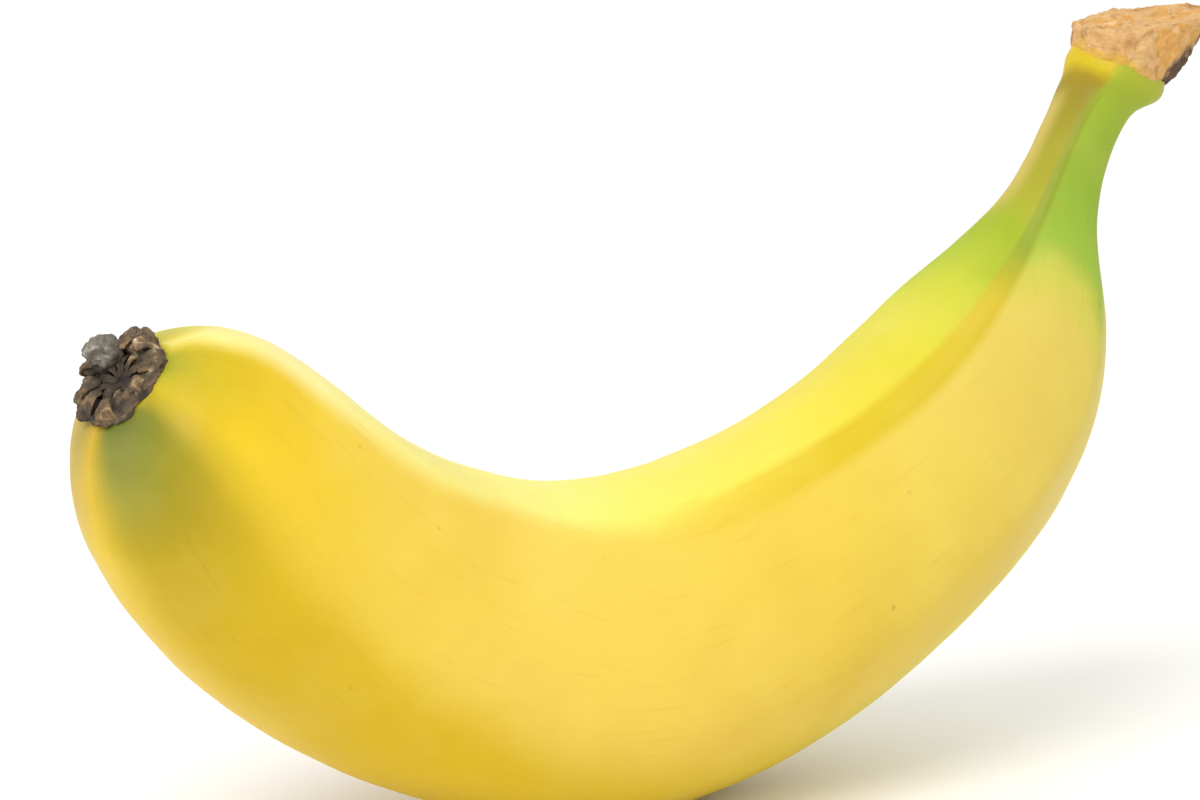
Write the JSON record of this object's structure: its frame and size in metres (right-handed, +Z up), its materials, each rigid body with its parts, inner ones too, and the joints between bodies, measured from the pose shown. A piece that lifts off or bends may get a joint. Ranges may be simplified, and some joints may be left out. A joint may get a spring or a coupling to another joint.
{
  "type": "banana",
  "caption": "Curved ripe dessert banana in its peel, with a narrow stem, a cut crown stub and a withered blossom end, resting on its belly.",
  "frame": {"origin": "middle of the flattened patch on the belly that the banana rests on", "axes": "+Z up, +X from the blossom end towards the stem, the banana's curve in the XZ plane with both ends up"},
  "size_m": [0.1432, 0.0388, 0.0855],
  "materials": {
    "peel": "satin",
    "withered_flower": "matt",
    "cut_crown": "matt"
  },
  "bodies": {
    "root": {"banana": "peel"}
  },
  "joints": []
}
